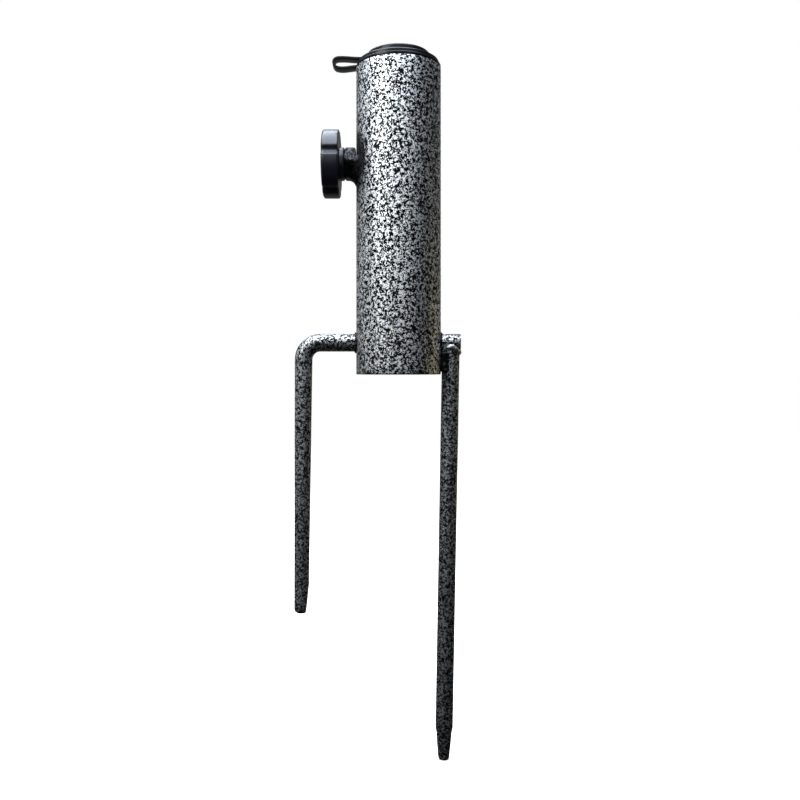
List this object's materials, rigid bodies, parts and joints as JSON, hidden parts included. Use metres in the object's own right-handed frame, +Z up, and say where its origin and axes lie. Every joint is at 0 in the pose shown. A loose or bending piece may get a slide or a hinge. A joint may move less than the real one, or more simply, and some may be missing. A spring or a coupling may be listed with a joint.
{
  "type": "fishing rod holder",
  "caption": "Ground-spike rod holder: painted steel tube on two welded pointed legs, with a clamp knob at the side and a tethered cap on its mouth.",
  "frame": {"origin": "centre of the tube's bottom rim, on the tube's axis, where the ground comes to when the legs are pushed in", "axes": "+Z up along the tube towards its mouth; the two legs and the clamp screw lie in the XZ plane, with the clamp screw and the short leg on -X and the long leg on +X"},
  "size_m": [0.0953, 0.048, 0.4001],
  "materials": {
    "hammertone_paint": "silver-vein hammertone enamel, black with silver flecks",
    "black_plastic": "satin moulded plastic",
    "soft_black_plastic": "soft moulded plastic, matt to satin",
    "zinc_steel": "bright zinc plate"
  },
  "bodies": {
    "holder": {"holder_tube": "hammertone_paint", "short_leg": "hammertone_paint", "long_leg": "hammertone_paint", "left_bar_weld": "hammertone_paint", "right_bar_weld": "hammertone_paint", "coped_joint_weld": "hammertone_paint", "leg_seam_weld_front": "hammertone_paint", "leg_seam_weld_back": "hammertone_paint", "clamp_nut": "hammertone_paint", "nut_weld": "hammertone_paint", "top_collar": "soft_black_plastic", "cap_tether": "soft_black_plastic"},
    "cap": {"cap_plug": "soft_black_plastic"},
    "pressure_pad": {"pressure_pad": "black_plastic"},
    "clamp_screw": {"clamp_knob": "black_plastic", "knob_end_cap": "black_plastic", "clamp_stud": "zinc_steel"}
  },
  "joints": [
    {"name": "cap_flip", "type": "hinge", "parent": "holder", "child": "cap", "pos_m": [-0.0369, 0, 0.17665], "axis": [0, -1, 0], "range_deg": [0, 150], "deforming": ["cap_tether"]},
    {"name": "clamp_advance", "type": "slide", "parent": "holder", "child": "pressure_pad", "axis": [-1, 0, 0], "range_m": [0, 0.01]},
    {"name": "knob_turn", "type": "hinge", "parent": "pressure_pad", "child": "clamp_screw", "pos_m": [-0.03, 0, 0.1195], "axis": [-1, 0, 0], "range_deg": [0, 2400]}
  ],
  "couplings": [
    {"joint": "clamp_advance", "follows": "knob_turn", "m_per_rad": 0.00023873}
  ]
}
